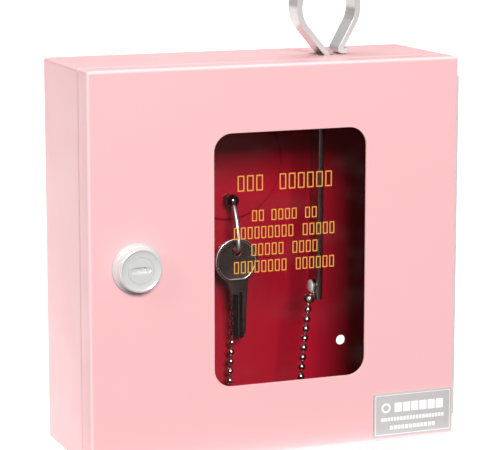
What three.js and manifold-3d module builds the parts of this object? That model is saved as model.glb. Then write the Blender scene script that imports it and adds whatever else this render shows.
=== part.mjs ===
// Emergency key cabinet: a sheet-steel box with a break-glass window in its hinged door, a cam lock,
// a key on a hook inside, and a bent-strip hammer that stands in a slot in the top on a ball chain.
// Millimetres, +Z up. The drawing frame has x = 0 on the centre line, y = 0 on the door's face
// (growing towards the wall) and z = 0 on the underside. The exported group then puts the origin
// at the centre of the wall face.
import * as THREE from "three";
import { mergeVertices } from "three/addons/utils/BufferGeometryUtils.js";
import Module from "manifold-3d";

const wasm = await Module();
wasm.setup();

// Driving dimensions
const SIDE = 160; // width and height of the box
const HALF = SIDE / 2;
const DEPTH = 58; // door face to wall
const SHEET = 1; // steel sheet
const GAP = 0.3; // clearance between touching pieces
const BEND = 1.4; // outer radius of the folded edges
const DOOR_DEPTH = 11; // door tray
const BODY_FRONT = 11.4; // front of the body behind the door tray
const WINDOW = { x0: -27.5, x1: 38.6, z0: 29.8, z1: 133, r: 7.5 };
const LOCK = { x: -60.3, z: 81.5 };
const PIVOT = { x: HALF + 2.4, y: 11.2 }; // hinge axis
const KEY = { x: -0.7, y: 45, t: 2, bowZ: 72.2, bowR: 9.65, holeZ: 76.1, holeR: 2.2, tipZ: 38.2 };
const HOOK = { x: KEY.x, y: 49.5, z: 97, wire: 1.1, ball: 2.9 };
const LOOP = { x: 32.3, z: 179.5, r: 13 }; // hammer handle, on its middle line
const STRIP = { x: 29.4, endX: 28.9, t: 2.4, y0: 24.2, y1: 34, z0: 57 };
const SLOT = { x0: 27.2, x1: 35, y0: 23.2, y1: 35 };
const CHAIN_R = 1.6; // ball radius

// Shapes and solids
const v2 = (x, y) => new THREE.Vector2(x, y);
const v3 = (x, y, z) => new THREE.Vector3(x, y, z);

function solid(geometry) {
  const bare = geometry.clone();
  bare.deleteAttribute("normal");
  bare.deleteAttribute("uv");
  const merged = mergeVertices(bare, 1e-4);
  return new wasm.Manifold(
    new wasm.Mesh({
      numProp: 3,
      vertProperties: merged.attributes.position.array,
      triVerts: new Uint32Array(merged.index.array),
    }),
  );
}

function geometryOf(body) {
  const mesh = body.getMesh();
  const geometry = new THREE.BufferGeometry();
  geometry.setAttribute("position", new THREE.BufferAttribute(mesh.vertProperties, mesh.numProp));
  geometry.setIndex(new THREE.BufferAttribute(mesh.triVerts, 1));
  geometry.computeVertexNormals();
  return geometry;
}

function box(x0, x1, y0, y1, z0, z1) {
  const geometry = new THREE.BoxGeometry(x1 - x0, y1 - y0, z1 - z0);
  return solid(geometry.translate((x0 + x1) / 2, (y0 + y1) / 2, (z0 + z1) / 2));
}

// A block about a centre line that runs along y, by its half width and half height
function blockAt(at, halfX, halfZ, y0, y1) {
  return box(at.x - halfX, at.x + halfX, y0, y1, at.z - halfZ, at.z + halfZ);
}

// A shape drawn in x and z, as thick as y0 to y1
function slab(shape, y0, y1, curveSegments = 3) {
  const geometry = new THREE.ExtrudeGeometry(shape, { depth: y1 - y0, bevelEnabled: false, curveSegments });
  return solid(geometry.rotateX(Math.PI / 2).translate(0, y1, 0));
}

// A profile of [radius, height] points turned about a line along axis through (a, b)
function turned(profile, axis, at, segments = 24) {
  const geometry = new THREE.LatheGeometry(profile.map(([r, h]) => v2(r, h)), segments);
  if (axis === "y") geometry.translate(at.x, 0, 0).translate(0, 0, at.z);
  if (axis === "z") geometry.rotateX(Math.PI / 2).translate(at.x, at.y, 0);
  if (axis === "x") geometry.rotateZ(-Math.PI / 2).translate(0, at.y, at.z);
  return solid(geometry);
}

function rod(axis, r, from, to, at, segments = 20) {
  return turned([[0, from], [r, from], [r, to], [0, to]], axis, at, segments);
}

function tubeRing(axis, inner, outer, from, to, at, segments = 24) {
  const profile = [[inner, from], [outer, from], [outer, to], [inner, to], [inner, from]];
  return turned(profile, axis, at, segments);
}

function roundedRect(x0, x1, z0, z1, r) {
  const shape = new THREE.Shape();
  shape.moveTo(x0 + r, z0);
  shape.lineTo(x1 - r, z0);
  shape.absarc(x1 - r, z0 + r, r, -Math.PI / 2, 0, false);
  shape.lineTo(x1, z1 - r);
  shape.absarc(x1 - r, z1 - r, r, 0, Math.PI / 2, false);
  shape.lineTo(x0 + r, z1);
  shape.absarc(x0 + r, z1 - r, r, Math.PI / 2, Math.PI, false);
  shape.lineTo(x0, z0 + r);
  shape.absarc(x0 + r, z0 + r, r, Math.PI, Math.PI * 1.5, false);
  return shape;
}

// The box's outline, drawn in by an inset
function outline(inset) {
  const r = Math.max(BEND - inset, 0.4);
  return roundedRect(-HALF + inset, HALF - inset, inset, SIDE - inset, r);
}

// A strip of even thickness that follows a polyline, with mitred corners
function ribbon(points, thickness) {
  const side = (sign) =>
    points.map((p, i) => {
      const before = points[Math.max(i - 1, 0)];
      const after = points[Math.min(i + 1, points.length - 1)];
      const a = i > 0 ? p.clone().sub(before).normalize() : after.clone().sub(p).normalize();
      const b = i < points.length - 1 ? after.clone().sub(p).normalize() : a;
      const normal = v2(-a.y - b.y, a.x + b.x).normalize();
      const reach = thickness / 2 / normal.dot(v2(-a.y, a.x));
      return p.clone().addScaledVector(normal, sign * reach);
    });
  return new THREE.Shape([...side(1), ...side(-1).reverse()]);
}

function hexagon(x, z, across) {
  const corner = across / Math.sqrt(3);
  const angles = [0, 1, 2, 3, 4, 5].map((i) => (i * Math.PI) / 3);
  return new THREE.Shape(angles.map((a) => v2(x + corner * Math.cos(a), z + corner * Math.sin(a))));
}

// Materials: colour, roughness and metalness of each finish
const FINISH = {
  enamel: [0xfdc8cc, 0.45, 0],
  inner: [0xa01e2d, 0.25, 0],
  glass: [0xe8f2ee, 0.05, 0],
  label: [0xc8c4c3, 0.5, 0],
  chrome: [0xd2d2d0, 0.2, 1],
  zinc: [0xb4b6b8, 0.4, 1],
  nickel: [0x7d756c, 0.35, 1],
};

const cabinet = new THREE.Group();
// The drawing frame's wall centre becomes the origin
cabinet.position.set(0, -DEPTH, -HALF);

function add(name, body, finish, parent = cabinet) {
  const [color, roughness, metalness] = FINISH[finish];
  const material = new THREE.MeshStandardMaterial({ color, roughness, metalness });
  const mesh = new THREE.Mesh(geometryOf(body), material);
  mesh.name = name;
  parent.add(mesh);
}

// Body: a wrapper of four walls with a return flange at the front and the back, and a back panel
const FLANGE_FRONT = 9;
const FLANGE_BACK = 10;
const PANEL_Y = DEPTH - SHEET; // inner face of the back panel
const BOSS = { z: 112, r: 24.5, rise: 1.6, slope: 1.6 };
const MOUNT_HOLES = { x: 53.2, low: 30.6, high: 129.4, r: 2.15 };

const RIVET = { r: 1.3, hole: 1.6, rows: [24, 80, 136], doorY: 5, bodyY: 19 };

function rivetHoles(y) {
  return RIVET.rows.map((z) => rod("x", RIVET.hole, HALF - 2 * SHEET - 1, HALF + 3, { y, z }, 12));
}

function bodyWrapper() {
  const flangeInside = PANEL_Y - SHEET - 0.2;
  let body = slab(outline(0), BODY_FRONT, DEPTH);
  body = body.subtract(slab(outline(SHEET), BODY_FRONT + SHEET, flangeInside));
  body = body.subtract(slab(outline(FLANGE_FRONT), BODY_FRONT - 1, BODY_FRONT + SHEET + 1));
  body = body.subtract(slab(outline(FLANGE_BACK), flangeInside - 1, DEPTH + 1));
  body = body.subtract(slab(outline(SHEET), PANEL_Y - 0.2, DEPTH + 1));
  body = body.subtract(box(SLOT.x0, SLOT.x1, SLOT.y0, SLOT.y1, SIDE - 2 * SHEET, SIDE + SHEET));
  for (const hole of rivetHoles(RIVET.bodyY)) body = body.subtract(hole);
  return body;
}

function backPanel() {
  const centre = { x: 0, z: BOSS.z };
  const front = PANEL_Y - BOSS.rise;
  const root = PANEL_Y + SHEET / 2;
  const { r, slope } = BOSS;
  const boss = turned([[0, front], [r - slope, front], [r, PANEL_Y], [r, root], [0, root]], "y", centre, 36);
  let panel = slab(outline(SHEET + 0.2), PANEL_Y, DEPTH).add(boss);
  const inner = r - 0.6;
  const back = front + SHEET;
  const hollow = [[0, back], [inner - slope, back], [inner, DEPTH], [inner, DEPTH + 1], [0, DEPTH + 1]];
  panel = panel.subtract(turned(hollow, "y", centre, 36));
  for (const x of [-MOUNT_HOLES.x, MOUNT_HOLES.x])
    for (const z of [MOUNT_HOLES.low, MOUNT_HOLES.high])
      panel = panel.subtract(rod("y", MOUNT_HOLES.r, PANEL_Y - 1, DEPTH + 1, { x, z }));
  panel = panel.subtract(rod("y", HOOK.wire + GAP, front - 1, DEPTH + 1, HOOK));
  return panel.subtract(rod("y", ANCHOR.r + GAP, PANEL_Y - 1, DEPTH + 1, ANCHOR));
}

// Door: a tray with a window and rounded front edges
function doorPanel() {
  const shape = outline(BEND);
  const geometry = new THREE.ExtrudeGeometry(shape, {
    depth: DOOR_DEPTH,
    bevelThickness: BEND,
    bevelSize: BEND,
    bevelSegments: 3,
    curveSegments: 2,
  });
  // The bevel at the back end runs past the tray's depth and is cut away
  let door = solid(geometry.rotateX(Math.PI / 2).translate(0, DOOR_DEPTH + BEND, 0));
  door = door.subtract(box(-SIDE, SIDE, DOOR_DEPTH, 2 * DOOR_DEPTH, -SIDE, 2 * SIDE));
  door = door.subtract(slab(outline(SHEET), SHEET, DOOR_DEPTH + 1));
  door = door.subtract(slab(roundedRect(WINDOW.x0, WINDOW.x1, WINDOW.z0, WINDOW.z1, WINDOW.r), -1, 2));
  door = door.subtract(rod("y", BARREL_R + GAP, -1, 2, LOCK, 32));
  for (const hole of rivetHoles(RIVET.doorY)) door = door.subtract(hole);
  return door;
}

// Glass and what holds it behind the window
const PANE = { x0: WINDOW.x0 - 5, x1: WINDOW.x1 + 5, z0: WINDOW.z0 - 5, z1: WINDOW.z1 + 5, y0: 1.3, y1: 3.3 };
const CHANNEL = { t: 0.8, foot: 6.5, lip: 3.4, y0: SHEET + 0.2 };

// A Z-section: a foot on the door, a riser past the pane's edge and a lip over the pane
function channelSection() {
  const lipY = PANE.y1 + GAP;
  const riser = GAP + CHANNEL.t;
  return new THREE.Shape([
    v2(-riser - CHANNEL.foot, CHANNEL.y0),
    v2(-GAP, CHANNEL.y0),
    v2(-GAP, lipY),
    v2(CHANNEL.lip, lipY),
    v2(CHANNEL.lip, lipY + CHANNEL.t),
    v2(-riser, lipY + CHANNEL.t),
    v2(-riser, CHANNEL.y0 + CHANNEL.t),
    v2(-riser - CHANNEL.foot, CHANNEL.y0 + CHANNEL.t),
  ]);
}

// The section is drawn in x (0 at the pane's edge) and y, and runs for a length along z
function channel(length) {
  const geometry = new THREE.ExtrudeGeometry(channelSection(), { depth: length, bevelEnabled: false });
  return geometry;
}

function sideChannel(edge, mirror) {
  const geometry = channel(PANE.z1 - PANE.z0 - 2);
  if (mirror) geometry.rotateY(Math.PI).translate(0, 0, PANE.z1 - PANE.z0 - 2);
  return solid(geometry.translate(edge, 0, PANE.z0));
}

function bottomChannel() {
  const x0 = PANE.x0 + CHANNEL.lip + GAP;
  const x1 = PANE.x1 - CHANNEL.lip - GAP;
  const geometry = channel(x1 - x0).rotateY(-Math.PI / 2);
  return solid(geometry.translate(x1, 0, PANE.z0));
}

const CLIP = { x: (WINDOW.x0 + WINDOW.x1) / 2, width: 14, studZ: PANE.z1 + 4.4 };

function glassClip() {
  const geometry = channel(CLIP.width).rotateY(Math.PI / 2);
  const clip = solid(geometry.translate(CLIP.x - CLIP.width / 2, 0, PANE.z1));
  return clip.subtract(rod("y", 1.8, 0, 8, { x: CLIP.x, z: CLIP.studZ }));
}

function clipNut() {
  const y0 = CHANNEL.y0 + CHANNEL.t + 0.2;
  const nut = slab(hexagon(CLIP.x, CLIP.studZ, 5.5), y0, y0 + 2.2);
  return nut.subtract(rod("y", 1.7, 0, 9, { x: CLIP.x, z: CLIP.studZ }));
}

const LABEL = { x0: 42.8, x1: 78.7, y0: -0.7, y1: -0.2, z0: 2, z1: 20.5 };

// Cam lock
const BARREL_R = 8.6;
const PLUG_R = 5.3;
const LOCK_FACE = -5.7; // front of the plug and of the housing round it
const BARREL_END = 15.4; // back of the threaded barrel
const CAM = { y0: 16.1, y1: 17.7, half: 6, top: 17, bottom: 7.5, corner: 3, hole: 3.2 };
const CAM_SCREW = { shank: 1.3, tip: 13, washer: 4.6, head: 3.4 };
const WASHER = { r: 12.2, y0: 1.3, y1: 2.1 };
const NUT = { across: 22, y0: 2.4, y1: 5.6 };

function lockHousing() {
  const bore = PLUG_R + GAP / 2;
  const rim = LOCK_FACE - GAP;
  const profile = [
    [bore, LOCK_FACE],
    [8.2, rim],
    [8.85, rim + 0.7],
    [9, -1.7],
    [10.3, -1],
    [10.3, -GAP],
    [BARREL_R, -GAP],
    [BARREL_R, BARREL_END],
    [bore, BARREL_END],
    [bore, LOCK_FACE],
  ];
  return turned(profile, "y", LOCK, 32);
}

function lockPlug() {
  const tail = CAM.hole - GAP;
  const keyway = { half: 2.5, height: 1.1, depth: 3 };
  let plug = rod("y", PLUG_R, LOCK_FACE, BARREL_END + 0.4, LOCK, 24);
  plug = plug.add(blockAt(LOCK, tail, tail, BARREL_END - 0.4, CAM.y1 + 0.2));
  plug = plug.subtract(blockAt(LOCK, keyway.half, keyway.height, LOCK_FACE - 1, keyway.depth));
  return plug.subtract(rod("y", CAM_SCREW.shank + GAP, CAM_SCREW.tip - 1, CAM.y1 + 3, LOCK, 16));
}

function lockCam() {
  const shape = new THREE.Shape();
  const { x, z } = LOCK;
  shape.absarc(x, z, CAM.bottom, Math.PI * 0.8, Math.PI * 2.2, false);
  const reach = CAM.half - CAM.corner;
  const arcZ = z + CAM.top - CAM.corner;
  shape.lineTo(x + CAM.half, arcZ);
  shape.absarc(x + reach, arcZ, CAM.corner, 0, Math.PI / 2, false);
  shape.absarc(x - reach, arcZ, CAM.corner, Math.PI / 2, Math.PI, false);
  const cam = slab(shape, CAM.y0, CAM.y1, 5);
  return cam.subtract(box(x - CAM.hole, x + CAM.hole, CAM.y0 - 1, CAM.y1 + 1, z - CAM.hole, z + CAM.hole));
}

function camScrew() {
  const seat = CAM.y1 + GAP + 0.2;
  const { shank, tip, washer, head } = CAM_SCREW;
  const profile = [
    [0, tip],
    [shank, tip],
    [shank, seat],
    [washer, seat],
    [washer, seat + 0.8],
    [head, seat + 0.9],
    [head - 0.8, seat + 2.3],
    [0, seat + 2.5],
  ];
  return turned(profile, "y", LOCK, 20);
}

function lockNut() {
  const nut = slab(hexagon(LOCK.x, LOCK.z, NUT.across), NUT.y0, NUT.y1);
  return nut.subtract(rod("y", BARREL_R + GAP, NUT.y0 - 1, NUT.y1 + 1, LOCK, 32));
}

// Hinge: two leaves whose knuckles take turns along one pin
const KNUCKLE = { r: 2.2, bore: 1.35, z0: 8, z1: 152, count: 9 };
const LEAF = { x0: HALF + 0.2, x1: HALF + 1, relief: 2.6, doorEdge: 1.6, bodyEdge: 24.4 };

function hingeLeaf(first, edge, rivetY) {
  const away = Math.sign(edge - PIVOT.y);
  const root = PIVOT.y + away * LEAF.relief;
  const pitch = (KNUCKLE.z1 - KNUCKLE.z0) / KNUCKLE.count;
  let leaf = box(LEAF.x0, LEAF.x1, Math.min(root, edge), Math.max(root, edge), KNUCKLE.z0, KNUCKLE.z1);
  for (let i = first; i < KNUCKLE.count; i += 2) {
    const z0 = KNUCKLE.z0 + i * pitch + 0.2;
    const z1 = KNUCKLE.z0 + (i + 1) * pitch - 0.2;
    const neckEnd = root + away * 0.5;
    leaf = leaf.add(box(LEAF.x0, LEAF.x1, Math.min(PIVOT.y, neckEnd), Math.max(PIVOT.y, neckEnd), z0, z1));
    leaf = leaf.add(rod("z", KNUCKLE.r, z0, z1, PIVOT, 12));
  }
  leaf = leaf.subtract(rod("z", KNUCKLE.bore, 0, SIDE, PIVOT, 12));
  for (const hole of rivetHoles(rivetY)) leaf = leaf.subtract(hole);
  return leaf;
}

function hingePin() {
  const r = KNUCKLE.bore - GAP;
  const low = KNUCKLE.z0;
  const high = KNUCKLE.z1;
  const profile = [
    [0, low - 1.2],
    [1.5, low - 0.9],
    [1.8, low - 0.2],
    [r, low - 0.2],
    [r, high + 0.2],
    [1.8, high + 0.2],
    [1.5, high + 0.9],
    [0, high + 1.2],
  ];
  return turned(profile, "z", PIVOT, 16);
}

function hingeRivet(y, z) {
  const outside = LEAF.x1 + 0.15;
  const inside = HALF - SHEET - 0.15;
  const profile = [
    [0, inside - 1.1],
    [1.9, inside - 0.9],
    [2.1, inside],
    [RIVET.r, inside],
    [RIVET.r, outside],
    [2.5, outside],
    [2, outside + 0.7],
    [0, outside + 1],
  ];
  return turned(profile, "x", { y, z }, 16);
}

// Key hook, its collar and the key
function wire(points, radius, sides, steps) {
  const section = new THREE.Shape();
  section.absarc(0, 0, radius, 0, Math.PI * 2, false);
  const path = new THREE.CatmullRomCurve3(points, false, "centripetal");
  const options = { steps, extrudePath: path, bevelEnabled: false, curveSegments: sides / 2 };
  return solid(new THREE.ExtrudeGeometry(section, options));
}

function keyHook() {
  const { x, y, z } = HOOK;
  const wireZ = KEY.holeZ + KEY.holeR - HOOK.wire - 0.45;
  const frontY = KEY.y - 2.5;
  const path = [
    v3(x, DEPTH - 1.1, z),
    v3(x, y + 3, z),
    v3(x, y + 0.5, z - 0.2),
    v3(x, y - 1.6, z - 2.2),
    v3(x, KEY.y - 0.6, z - 9),
    v3(x, frontY + 0.1, z - 15),
    v3(x, frontY, wireZ + 2),
    v3(x, frontY + 0.7, wireZ + 0.4),
    v3(x, KEY.y, wireZ),
    v3(x, KEY.y + 1.9, wireZ + 0.5),
    v3(x, KEY.y + 2.6, wireZ + 2.4),
  ];
  const ball = new THREE.SphereGeometry(HOOK.ball, 16, 10).translate(x, y, z);
  const head = rod("y", 2.1, PANEL_Y + 0.05, PANEL_Y + 0.7, HOOK, 16);
  const neck = rod("y", 1, PANEL_Y - 1, PANEL_Y + 0.3, HOOK, 12);
  return wire(path, HOOK.wire, 8, 30).add(solid(ball)).add(head).add(neck);
}

function hookCollar() {
  const front = HOOK.y + HOOK.ball + 0.2;
  return tubeRing("y", HOOK.wire + 0.15, 2.2, front, PANEL_Y - BOSS.rise - 0.2, HOOK);
}

// The key, drawn about its own middle line: the bow, the cuts on the left edge, the tip and the back edge
function keyPlate() {
  const neck = { left: 4.4, right: 4.9 };
  const from = -Math.acos(neck.right / KEY.bowR);
  const to = Math.PI + Math.acos(neck.left / KEY.bowR);
  const taper = [[-4.2, 62.6], [-3.4, 60.8], [-2.9, 58.6], [-2.7, 56]];
  const cuts = [[-2.7, 53.4], [-2.1, 52.6], [-2.1, 51.4], [-1.1, 50.2], [-1.1, 49.2], [-1.9, 48.3]];
  cuts.push([-2.5, 47.6], [-2.5, 46.9], [-1.3, 45.6], [-1.3, 44.8], [-2.2, 43.9], [-2.2, 42.9]);
  cuts.push([-1.7, 42.2], [-1.9, 41.2], [-1.2, 39.6]);
  const tip = [[0.3, 0], [1.9, 0.1], [3.1, 0.8], [4, 3.2]].map(([x, dz]) => [x, KEY.tipZ + dz]);
  const back = [[4.2, 48.7], [4.4, 54.2], [4.8, 59.6]];
  const shape = new THREE.Shape();
  shape.absarc(KEY.x, KEY.bowZ, KEY.bowR, from, to, false);
  for (const [x, z] of [...taper, ...cuts, ...tip, ...back]) shape.lineTo(KEY.x + x, z);
  const hole = new THREE.Path();
  hole.absarc(KEY.x, KEY.holeZ, KEY.holeR, 0, Math.PI * 2, true);
  shape.holes.push(hole);
  return slab(shape, KEY.y - KEY.t / 2, KEY.y + KEY.t / 2, 12);
}

// Hammer: one bent strip with a loop handle on top and a shank that hangs inside
const RIVET_HAMMER = { y: 29, z: 62.2, r: 1.5, head: 2.75, eye: 3 };

function hammerStrip() {
  const arc = [];
  const from = -29; // where the right leg leaves the loop, degrees
  const to = 227; // where the left leg leaves it
  const steps = 30;
  for (let i = 0; i <= steps; i += 1) {
    const a = THREE.MathUtils.degToRad(from + ((to - from) * i) / steps);
    arc.push(v2(LOOP.x + LOOP.r * Math.cos(a), LOOP.z + LOOP.r * Math.sin(a)));
  }
  const tabZ = SIDE + GAP + STRIP.t / 2;
  const points = [
    v2(41, tabZ),
    v2(37.2, tabZ),
    ...arc,
    v2(STRIP.x + 2.8, SIDE - 0.4),
    v2(STRIP.x, SIDE - 3.6),
    v2(STRIP.endX, STRIP.z0),
  ];
  const strip = slab(ribbon(points, STRIP.t), STRIP.y0, STRIP.y1);
  return strip.subtract(rod("x", RIVET_HAMMER.r + GAP, 20, 40, RIVET_HAMMER, 16));
}

function hammerRivet() {
  const { r, head } = RIVET_HAMMER;
  const left = STRIP.endX - STRIP.t / 2 - 0.95;
  const right = STRIP.endX + STRIP.t / 2 + 0.15;
  const profile = [
    [0, left - 1.35],
    [head - 0.9, left - 1],
    [head, left - 0.2],
    [head - 0.15, left],
    [r, left],
    [r, right],
    [2.2, right],
    [1.8, right + 0.8],
    [0, right + 1.1],
  ];
  return turned(profile, "x", RIVET_HAMMER, 20);
}

// A thin eye between the rivet's head and the strip, with a cup that grips the chain's first ball
const CUP = { x: 25, y: 27, top: 59.5, r: 2.5, bottom: 55.45 };

function chainTabHammer() {
  const x1 = STRIP.endX - STRIP.t / 2 - 0.2;
  const x0 = x1 - 0.6;
  const { y, z, r, eye } = RIVET_HAMMER;
  const cup = turned(
    [
      [0, CUP.bottom],
      [CUP.r - 0.9, CUP.bottom + 0.2],
      [CUP.r, CUP.bottom + 1.6],
      [CUP.r, CUP.bottom + 2.6],
      [CUP.r - 0.6, CUP.top - 0.7],
      [0, CUP.top],
    ],
    "z",
    CUP,
  );
  const tab = rod("x", eye, x0, x1, RIVET_HAMMER, 20).add(box(x0, x1, y - 2.6, y + 0.4, z - 5, z - 2));
  return tab.add(cup).subtract(rod("x", r + 0.2, x0 - 1, x1 + 1, RIVET_HAMMER, 16));
}

// Ball chain: the run that hangs from the hammer, the slack on the floor and the run to the anchor
const ANCHOR = { x: 1.8, z: 75, r: 1.1, eye: 3, strap: 1.6, t: 0.8 };
const FLOOR_Z = SHEET + CHAIN_R + 0.2;
const RUN_HAMMER = [
  v3(24.7, CUP.y, 55.1),
  v3(23.3, CUP.y, 42),
  v3(21.7, CUP.y, 27),
  v3(20.6, CUP.y, 14),
  v3(20.4, CUP.y, 8.8),
];
const SLACK = [
  v3(20.4, 27, 8.2),
  v3(21.2, 27.6, 5),
  v3(25, 29.6, FLOOR_Z + 0.3),
  v3(34, 35, FLOOR_Z),
  v3(43, 37, FLOOR_Z),
  v3(50, 31, FLOOR_Z),
  v3(47, 22, FLOOR_Z),
  v3(37, 18.5, FLOOR_Z),
  v3(24, 18, FLOOR_Z),
  v3(11, 18, FLOOR_Z),
  v3(2, 22, FLOOR_Z),
  v3(1, 30, FLOOR_Z),
  v3(9, 34.5, FLOOR_Z),
  v3(18, 37, FLOOR_Z),
  v3(20, 43.5, FLOOR_Z),
  v3(13, 48.5, FLOOR_Z),
  v3(4, 49.5, FLOOR_Z + 0.3),
  v3(-0.6, 50.2, 5.2),
  v3(-1.9, 50.6, 8.2),
];
const RUN_ANCHOR = [
  v3(-1.9, 50.6, 8.8),
  v3(-1.6, 51, 18),
  v3(0, 52, 38),
  v3(1.5, 53, 58),
  v3(ANCHOR.x, 53.4, 68),
];

function anchorTab() {
  const { x, z, r, eye, strap, t } = ANCHOR;
  const y1 = PANEL_Y - GAP;
  const legEnd = z - 5;
  const leg = box(x - strap, x + strap, y1 - t, y1, legEnd, z);
  const foot = box(x - strap, x + strap, y1 - 4, y1, legEnd - 0.6, legEnd + 0.2);
  const tab = rod("y", eye, y1 - t, y1, ANCHOR).add(leg).add(foot);
  return tab.subtract(rod("y", r + 0.5, y1 - 5, DEPTH, ANCHOR, 16));
}

function anchorRivet() {
  const seat = PANEL_Y - GAP - ANCHOR.t - 0.2;
  const profile = [
    [0, seat - 1.3],
    [1.6, seat - 1.1],
    [2.4, seat],
    [ANCHOR.r, seat],
    [ANCHOR.r, DEPTH - 0.1],
    [0, DEPTH - 0.1],
  ];
  return turned(profile, "y", ANCHOR, 16);
}

// Assembly
add("body_wrapper", bodyWrapper(), "enamel");
add("back_panel", backPanel(), "inner");
add("key_hook", keyHook(), "chrome");
add("hook_collar", hookCollar(), "zinc");
add("anchor_tab", anchorTab(), "zinc");
add("anchor_rivet", anchorRivet(), "zinc");
add("chain_run_anchor", wire(RUN_ANCHOR, CHAIN_R, 8, 12), "chrome");
add("chain_slack", wire(SLACK, CHAIN_R, 8, 60), "chrome");

const door = new THREE.Group();
cabinet.add(door);
add("door_panel", doorPanel(), "enamel", door);
add("glass_pane", box(PANE.x0, PANE.x1, PANE.y0, PANE.y1, PANE.z0, PANE.z1), "glass", door);
add("glass_channel_left", sideChannel(PANE.x0, false), "zinc", door);
add("glass_channel_right", sideChannel(PANE.x1, true), "zinc", door);
add("glass_channel_bottom", bottomChannel(), "zinc", door);
add("glass_clip", glassClip(), "zinc", door);
add("clip_stud", rod("y", 1.4, SHEET + 0.2, 6, { x: CLIP.x, z: CLIP.studZ }, 16), "zinc", door);
add("clip_nut", clipNut(), "zinc", door);
add("label_plate", box(LABEL.x0, LABEL.x1, LABEL.y0, LABEL.y1, LABEL.z0, LABEL.z1), "label", door);
add("lock_housing", lockHousing(), "chrome", door);
add("lock_washer", tubeRing("y", BARREL_R + GAP, WASHER.r, WASHER.y0, WASHER.y1, LOCK, 32), "zinc", door);
add("lock_nut", lockNut(), "zinc", door);
add("hinge_leaf_door", hingeLeaf(1, LEAF.doorEdge, RIVET.doorY), "zinc", door);

const barrel = new THREE.Group();
door.add(barrel);
add("lock_plug", lockPlug(), "chrome", barrel);
add("lock_cam", lockCam(), "zinc", barrel);
add("cam_screw", camScrew(), "zinc", barrel);

add("hinge_leaf_body", hingeLeaf(0, LEAF.bodyEdge, RIVET.bodyY), "zinc");
add("hinge_pin", hingePin(), "zinc");
RIVET.rows.forEach((z, i) => {
  add(`hinge_rivet_door_${i + 1}`, hingeRivet(RIVET.doorY, z), "zinc", door);
  add(`hinge_rivet_body_${i + 1}`, hingeRivet(RIVET.bodyY, z), "zinc");
});

const key = new THREE.Group();
cabinet.add(key);
add("key", keyPlate(), "nickel", key);

const hammer = new THREE.Group();
cabinet.add(hammer);
add("hammer_strip", hammerStrip(), "chrome", hammer);
add("hammer_rivet", hammerRivet(), "zinc", hammer);
add("chain_tab_hammer", chainTabHammer(), "zinc", hammer);
add("chain_run_hammer", wire(RUN_HAMMER, CHAIN_R, 8, 10), "chrome", hammer);

export default cabinet;
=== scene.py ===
"""Emergency key cabinet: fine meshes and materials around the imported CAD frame."""

import math

import bmesh
import bpy
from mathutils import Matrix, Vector
from mathutils.geometry import tessellate_polygon


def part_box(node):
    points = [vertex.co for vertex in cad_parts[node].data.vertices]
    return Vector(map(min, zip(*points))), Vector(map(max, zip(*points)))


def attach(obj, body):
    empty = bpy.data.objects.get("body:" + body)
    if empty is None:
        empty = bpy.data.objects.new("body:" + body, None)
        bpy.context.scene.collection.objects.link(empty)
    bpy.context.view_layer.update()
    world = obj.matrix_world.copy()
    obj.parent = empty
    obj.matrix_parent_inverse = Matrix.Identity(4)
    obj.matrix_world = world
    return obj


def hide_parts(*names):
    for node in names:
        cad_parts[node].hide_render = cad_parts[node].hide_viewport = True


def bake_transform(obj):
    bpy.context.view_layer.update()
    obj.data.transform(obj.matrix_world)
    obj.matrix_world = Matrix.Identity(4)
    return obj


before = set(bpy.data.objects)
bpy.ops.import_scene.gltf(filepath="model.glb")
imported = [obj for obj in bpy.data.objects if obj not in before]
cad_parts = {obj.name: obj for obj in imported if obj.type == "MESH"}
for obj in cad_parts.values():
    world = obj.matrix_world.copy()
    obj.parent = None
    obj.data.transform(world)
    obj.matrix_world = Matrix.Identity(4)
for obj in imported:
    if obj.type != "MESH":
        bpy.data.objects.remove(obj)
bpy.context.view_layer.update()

MM = 0.001

# The drawing frame of the part, in millimetres: x from the centre line, y from the door's face,
# z from the underside
FACE_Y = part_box("door_panel")[0].y
BASE_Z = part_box("body_wrapper")[0].z
SIDE = (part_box("body_wrapper")[1].z - BASE_Z) / MM
HALF = SIDE / 2
DEPTH = (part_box("body_wrapper")[1].y - FACE_Y) / MM


def place(p):
    """A drawing point in millimetres as a point of the row frame in metres."""
    return Vector((p[0] * MM, FACE_Y + p[1] * MM, BASE_Z + p[2] * MM))


def span(node):
    """A node's box in drawing millimetres: lowest and highest corner."""
    low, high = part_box(node)
    shift = Vector((0, FACE_Y, BASE_Z))
    return (low - shift) / MM, (high - shift) / MM


# ---------------------------------------------------------------- mesh tools


def mesh_object(name, verts, faces, smooth_angle=32):
    """A mesh piece from drawing points, with its faces turned outwards and smooth below an angle."""
    mesh = bpy.data.meshes.new(name)
    mesh.from_pydata([place(v) for v in verts], [], faces)
    work = bmesh.new()
    work.from_mesh(mesh)
    bmesh.ops.remove_doubles(work, verts=work.verts, dist=1e-7)
    bmesh.ops.recalc_face_normals(work, faces=work.faces)
    work.to_mesh(mesh)
    work.free()
    obj = bpy.data.objects.new(name, mesh)
    bpy.context.scene.collection.objects.link(obj)
    soften(obj, smooth_angle)
    return obj


def soften(obj, angle):
    """Smooth shading, with edges sharper than angle kept sharp."""
    obj.data.shade_smooth()
    obj.data.set_sharp_from_angle(angle=math.radians(angle))


def apply_modifiers(obj):
    """Bakes an object's modifiers into its own mesh."""
    bpy.context.view_layer.update()
    shape = obj.evaluated_get(bpy.context.evaluated_depsgraph_get())
    mesh = bpy.data.meshes.new_from_object(shape)
    old = obj.data
    obj.modifiers.clear()
    obj.data = mesh
    bpy.data.meshes.remove(old)
    return obj


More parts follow.
